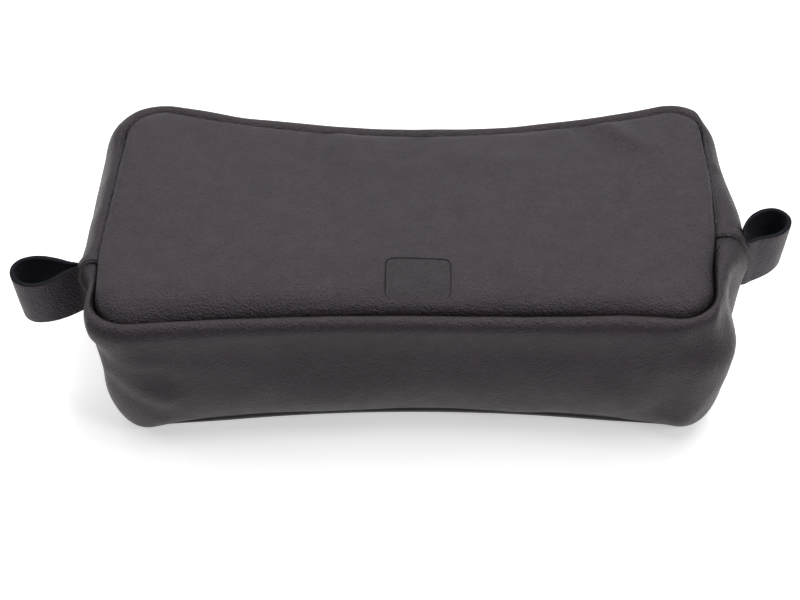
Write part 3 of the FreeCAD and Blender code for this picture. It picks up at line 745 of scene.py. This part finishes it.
def thread_finish():
    """Twisted polyester thread with a wax coat."""
    material, shader = blank_material("waxed_black_thread")
    place = node(material, "ShaderNodeTexCoord").outputs["Object"]
    ply = node(material, "ShaderNodeTexWave", {"Vector": place}, Scale=900.0, Distortion=2.0)
    ply.bands_direction = "DIAGONAL"
    bump = node(material, "ShaderNodeBump", {"Height": ply.outputs["Fac"]}, Strength=0.5, Distance=0.0001)
    material.node_tree.links.new(bump.outputs["Normal"], shader.inputs["Normal"])
    shader.inputs["Base Color"].default_value = linear("#141315")
    shader.inputs["Roughness"].default_value = 0.5
    return material


def small_block(size, middle, bevel, segments=2, taper=1.0):
    """The vertices and faces of one bevelled block in millimetres; taper narrows its lower end."""
    bpy.ops.object.select_all(action="DESELECT")
    bpy.ops.mesh.primitive_cube_add(size=1.0)
    block = bpy.context.object
    for vertex in block.data.vertices:
        narrow = taper if vertex.co.z < 0 else 1.0
        vertex.co = Vector((vertex.co.x * narrow, vertex.co.y, vertex.co.z)) * size + middle
    rounding = block.modifiers.new("round", "BEVEL")
    rounding.width = bevel
    rounding.segments = segments
    bpy.ops.object.modifier_apply(modifier=rounding.name)
    shape = [v.co.copy() for v in block.data.vertices], [tuple(p.vertices) for p in block.data.polygons]
    bpy.data.objects.remove(block)
    return shape


def repeated(name, shape, places, material):
    """One piece made of copies of a small shape, one at each placement."""
    points, faces = shape
    all_points, all_faces = [], []
    for place in places:
        first = len(all_points)
        all_points += [(place @ p) * MM for p in points]
        all_faces += [[first + i for i in face] for face in faces]
    mesh = bpy.data.meshes.new(name)
    mesh.from_pydata(all_points, [], all_faces)
    made = placed(name, mesh)
    made.data.materials.append(material)
    pick(made)
    bpy.ops.object.shade_smooth_by_angle(angle=math.radians(40))
    return made


def laid_between(start, end, out):
    """A placement halfway between two points, with X towards the second and Y as near out as it can be."""
    along = (end - start).normalized()
    across = along.cross(out).normalized()
    up = across.cross(along)
    return Matrix.Translation((start + end) / 2) @ Matrix((along, up, across)).transposed().to_4x4()


def wall_point(distance, row, lift, first=0, last=LAST_ROW):
    """A point on the finished wall at a row that may lie between two of the section's."""
    low = min(int(row), LAST_ROW - 1)
    a, b = [gusset_point(distance, r, first, last, lift) for r in (low, low + 1)]
    return a.lerp(b, row - low)


def zip_stitches(row, first, last):
    places = []
    for i in range(int(ZIP_END / STITCH_PITCH) - 1):
        at = STITCH_PITCH * (i + 1)
        start, end = [wall_point(at + step, row, ZIP_STITCH_LIFT, first, last) for step in (0.0, STITCH.x)]
        places.append(laid_between(start, end, section_point(at, int(row))[1]))
    return places


def band_stitches(side):
    """Placements along the band beside the seam, an even distance apart, leaving out the loop's stretch."""
    far_edge, seam_edge = BANDS[side]
    distance = far_edge + (seam_edge - far_edge) * (GROOVE_AT + 1) / 2
    loop_low, loop_high = [corner.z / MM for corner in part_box(side + "_loop_tail")]
    lift = band_height(GROOVE_AT) + BAND_STITCH_LIFT
    steps = range(ROW_STEPS * BAND_END_ROWS, ROW_STEPS * (LAST_ROW - BAND_END_ROWS))
    run = [wall_point(distance, step / ROW_STEPS, lift) for step in steps]
    places, travelled, start = [], 0.0, run[0]
    for i, (a, b) in enumerate(zip(run, run[1:])):
        travelled += (b - a).length
        if travelled >= STITCH_PITCH:
            end = start.lerp(b, STITCH.x / STITCH_PITCH)
            if not loop_low - LOOP_MARGIN < (start.z + end.z) / 2 < loop_high + LOOP_MARGIN:
                places.append(laid_between(start, end, section_point(distance, steps[i] // ROW_STEPS)[1]))
            travelled, start = 0.0, b
    return places


THREAD = thread_finish()
STITCH_SHAPE = small_block(STITCH, Vector((0, 0.05, 0)), 0.2)
stitch_share = ZIP_STITCH_INSET * ROWS_PER_SPAN
above = END_SECTION[WINDOW_TOP_POINT - 1][1] - END_SECTION[WINDOW_TOP_POINT][1]
upper_stitches = repeated("zip_stitches_upper", STITCH_SHAPE, zip_stitches(
    WINDOW_TOP_ROW - stitch_share / above, 0, WINDOW_TOP_ROW), THREAD)
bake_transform(upper_stitches)
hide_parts("zip_stitching_front")

below = END_SECTION[WINDOW_FOOT_POINT][1] - END_SECTION[WINDOW_FOOT_POINT + 1][1]
lower_stitches = repeated("zip_stitches_lower", STITCH_SHAPE, zip_stitches(
    WINDOW_FOOT_ROW + stitch_share / below, WINDOW_FOOT_ROW, LAST_ROW), THREAD)
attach(lower_stitches, "case")
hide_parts("zip_stitching_back")

for side in BANDS:
    stitches = repeated(side + "_band_stitches", STITCH_SHAPE, band_stitches(side), THREAD)
    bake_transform(stitches)
    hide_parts(side + "_end_stitching")


# ---- End loops ----
# One strap of firmer bridle leather for each end, 23 mm wide and 1.9 mm thick, bent round into a loop. Its two
# thinned ends lie together in the end seam. Its cut edges and flesh side are dyed a dark blue-black.

LOOP_LEATHER = 1.9
LOOP_THINNED = 0.62      # share of the thickness left in the seam
LOOP_FOLD = 125.4
LOOP_MIDDLE = 17.2       # fold line to the middle of the round end
LOOP_ROWS = 8
LOOP_WAVE = 0.35         # how far the strap strays from flat across its width
LOOP_TAPER = 3.0         # how much narrower the strap is at its bend
LOOP_SPREAD = 0.9        # how far the loop's upper edge reaches beyond its lower one, each way
# One side of the strap's outer face seen from above: out from the fold line, and across
LOOP_PATH = [(-7, 1.2), (-3.5, 1.2), (0.5, 1.25), (4, 2.7), (8.5, 5.6), (13, 7.7), (17.2, 8.3), (21.4, 7.2),
             (24.5, 4.2), (25.5, 0)]


def end_loop(side, sign, turn, squeeze, drawn_back):
    """The strap at one end; squeeze narrows the drop, and drawn_back brings it nearer to the wall."""
    low, high = [corner.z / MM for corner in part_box(side + "_loop_tail")]
    seam = LEFT_SEAM if side == "left" else RIGHT_SEAM
    half = [(u - drawn_back if u > 0 else u - drawn_back / 2, v * (1 - squeeze) if u > 4 else v)
            for u, v in LOOP_PATH]
    path = smooth_line(half + [(u, -v) for u, v in reversed(half[:-1])], 5)
    angle = math.radians(turn)

    def place(column, row):
        u, v = path[column]
        share = row / LOOP_ROWS
        bend = angle * ramp(u, -1.0, 5.0)
        flare = LOOP_SPREAD * (2 * share - 1) * max(0.0, u) / LOOP_MIDDLE
        x = u * math.cos(bend) - v * math.sin(bend) + flare
        y = u * math.sin(bend) + v * math.cos(bend)
        wave = LOOP_WAVE * math.sin(2.5 * share + u / 6.0) * ramp(u, 0.0, 10.0)
        foot = low + LOOP_TAPER * ramp(u, 0.0, 18.0)
        return Vector((sign * (LOOP_FOLD + x), seam + y + wave, foot + (high - foot) * share))

    middle = Vector((sign * (LOOP_FOLD + LOOP_MIDDLE * math.cos(angle)), seam + LOOP_MIDDLE * math.sin(angle),
                     (low + high) / 2))
    made = wrapped(side + "_end_loop", len(path) - 1, LOOP_ROWS, place, middle)
    group = made.vertex_groups.new(name="thickness")
    for vertex in made.data.vertices:
        out = abs(vertex.co.x) / MM - LOOP_FOLD
        group.add([vertex.index], LOOP_THINNED + (1 - LOOP_THINNED) * ramp(out, 0.0, 6.0), "REPLACE")
    made.data.materials.append(STRAP)
    made.data.materials.append(CUT_EDGE)
    thicken(made, LOOP_LEATHER, edge=0.4, cut_edge=True)
    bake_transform(made)
    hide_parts(side + "_loop", side + "_loop_tail")


def dyed_cut_edge():
    """The strap's cut edges and flesh side: matt, fibrous and dyed blue-black."""
    material, shader = blank_material("dyed_cut_edge")
    place = node(material, "ShaderNodeTexCoord").outputs["Object"]
    fibres = node(material, "ShaderNodeTexNoise", {"Vector": place}, Scale=1500.0, Detail=6.0, Roughness=0.7)
    tone = node(material, "ShaderNodeValToRGB", {"Fac": fibres.outputs["Fac"]})
    for element, position, colour in zip(tone.color_ramp.elements, (0.35, 0.7), ("#07080D", "#151722")):
        element.position, element.color = position, linear(colour)
    nap = node(material, "ShaderNodeBump", {"Height": fibres.outputs["Fac"]}, Strength=0.6, Distance=0.0003)
    material.node_tree.links.new(tone.outputs["Color"], shader.inputs["Base Color"])
    material.node_tree.links.new(nap.outputs["Normal"], shader.inputs["Normal"])
    shader.inputs["Roughness"].default_value = 0.9
    shader.inputs["IOR"].default_value = 1.3
    return material


STRAP = black_leather("black_bridle_leather", "#1D1A1E", "#262227")
CUT_EDGE = dyed_cut_edge()
end_loop("left", -1, -10, 0.0, 0.6)
end_loop("right", 1, 42, 0.08, 3.0)


# ---- Zip tapes ----
# Black woven polyester tape either side of the chain, sewn behind the leather edges.

TAPE = 0.8
TAPE_FACE = 0.38         # out from the middle of the chain
TAPE_EDGES = (1.9, 5.0, 9.0, 13.0)
CHAIN_INSET = 6.55
CHAIN_HEIGHT = TOP / 2
LEAN = 9.0               # how far the wall leans in from the front panel to the back one
LEAN_ANGLE = math.atan(LEAN / TOP)
TAPE_MARGIN = 1.5        # tape's end to the end seam
TAPE_STEP = 2.0
CHAIN = stretches(CHAIN_INSET)
CHAIN_LENGTH = sum(length for length, _ in CHAIN[:4]) + CORNER_Y - RIGHT_SEAM


def chain_frame(distance):
    """Placement on the chain: X along it, Y out of the case, Z up the leaning wall."""
    x, y, heading = walk(CHAIN, CHAIN_INSET, distance)
    return (Matrix.Translation((x, y, CHAIN_HEIGHT)) @ Matrix.Rotation(heading, 4, "Z")
            @ Matrix.Rotation(-LEAN_ANGLE, 4, "X"))


def zip_tape(name, sign):
    columns = round(CHAIN_LENGTH / TAPE_STEP)

    def place(column, row):
        distance = TAPE_MARGIN + (CHAIN_LENGTH - 2 * TAPE_MARGIN) * column / columns
        return chain_frame(distance) @ Vector((0, TAPE_FACE, sign * TAPE_EDGES[row]))

    made = wrapped(name, columns, len(TAPE_EDGES) - 1, place)
    made.data.materials.append(TAPE_CLOTH)
    thicken(made, TAPE)
    return made


TAPE_CLOTH = woven_cloth("black_zip_tape", "#19191B", 0.0005, 0.2)
upper_tape = zip_tape("zip_tape_upper", 1)
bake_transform(upper_tape)
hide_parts("zip_tape_front")
lower_tape = zip_tape("zip_tape_lower", -1)
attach(lower_tape, "case")
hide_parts("zip_tape_back")


# ---- Zip teeth ----
# Number 5 metal teeth in antique brass, 2.8 mm apart on each tape, each a die-cast block with a narrowed head.

TOOTH = Vector((1.1, 2.4, 3.5))
TOOTH_PITCH = 2.8
TOOTH_OVERLAP = 0.5
FIRST_TOOTH = 10.4       # from the left end seam
LAST_TOOTH = 8.3         # and from the right one


def antique_brass():
    """Brass with a thin brown patina: brighter where it is rubbed, duller in between."""
    material, shader = blank_material("antique_brass")
    links = material.node_tree.links
    place = node(material, "ShaderNodeTexCoord").outputs["Object"]
    patina = node(material, "ShaderNodeTexNoise", {"Vector": place}, Scale=420.0, Detail=5.0)
    tone = node(material, "ShaderNodeValToRGB", {"Fac": patina.outputs["Fac"]})
    for element, position, colour in zip(tone.color_ramp.elements, (0.35, 0.65), ("#7A6B42", "#B5A170")):
        element.position, element.color = position, linear(colour)
    gloss = node(material, "ShaderNodeMapRange", {"Value": patina.outputs["Fac"]})
    for name, value in (("From Min", 0.3), ("From Max", 0.7), ("To Min", 0.42), ("To Max", 0.26)):
        gloss.inputs[name].default_value = value
    scratches = node(material, "ShaderNodeTexNoise", {"Vector": place}, Scale=2600.0, Detail=2.0)
    bump = node(material, "ShaderNodeBump", {"Height": scratches.outputs["Fac"]},
                Strength=0.12, Distance=0.00005)
    links.new(tone.outputs["Color"], shader.inputs["Base Color"])
    links.new(gloss.outputs["Result"], shader.inputs["Roughness"])
    links.new(bump.outputs["Normal"], shader.inputs["Normal"])
    shader.inputs["Metallic"].default_value = 1.0
    return material


def teeth(name, sign):
    middle = Vector((0, 0, TOOTH.z / 2 - TOOTH_OVERLAP))
    shape = small_block(TOOTH, middle, 0.22, taper=0.7)
    turned = Matrix.Diagonal((sign, 1, sign, 1))
    first = FIRST_TOOTH + TOOTH_PITCH * (0.5 if sign > 0 else 1.0)
    count = int((CHAIN_LENGTH - LAST_TOOTH - first) / TOOTH_PITCH) + 1
    made = repeated(name, shape, [chain_frame(first + i * TOOTH_PITCH) @ turned for i in range(count)], BRASS)
    return made


BRASS = antique_brass()
upper_teeth = teeth("zip_teeth_upper", 1)
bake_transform(upper_teeth)
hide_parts("zip_teeth_front")
lower_teeth = teeth("zip_teeth_lower", -1)
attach(lower_teeth, "case")
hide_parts("zip_teeth_back")


# ---- Zip stops, slider and puller ----
# Crimped stops at both ends of the chain, and a die-cast slider with its bridge, link and tab, all in the same
# antique brass. Their shapes are the model's own, with the sharp edges tumbled off.

METAL_EDGE = math.radians(35)        # an edge sharper than this is rounded


def tumbled(name, cad_node, body, edge):
    """A copy of a metal part's own shape with its edges rounded."""
    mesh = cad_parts[cad_node].data.copy()
    made = placed(name, mesh)
    mesh.materials.clear()
    mesh.materials.append(BRASS)
    pick(made)
    bpy.ops.object.mode_set(mode="EDIT")
    bpy.ops.mesh.select_all(action="SELECT")
    bpy.ops.mesh.remove_doubles(threshold=1e-6)
    bpy.ops.mesh.dissolve_limited(angle_limit=math.radians(0.5))
    bpy.ops.object.mode_set(mode="OBJECT")
    rounding = made.modifiers.new("edge", "BEVEL")
    rounding.width = edge * MM
    rounding.segments = 2
    rounding.angle_limit = METAL_EDGE
    bpy.ops.object.modifier_apply(modifier=rounding.name)
    bpy.ops.object.shade_smooth_by_angle(angle=METAL_EDGE)
    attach(made, body)
    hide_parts(cad_node)


tumbled("top_stop_upper", "zip_top_stop_front", "case", 0.2)
tumbled("top_stop_lower", "zip_top_stop_back", "case", 0.2)
tumbled("bottom_stop", "zip_bottom_stop", "case", 0.2)
tumbled("slider_body", "zip_slider_body", "slider", 0.2)
tumbled("slider_bridge", "zip_slider_bridge", "slider", 0.05)
tumbled("puller_link", "pull_link", "link", 0.12)
tumbled("puller_tab", "pull_tab", "tab", 0.2)
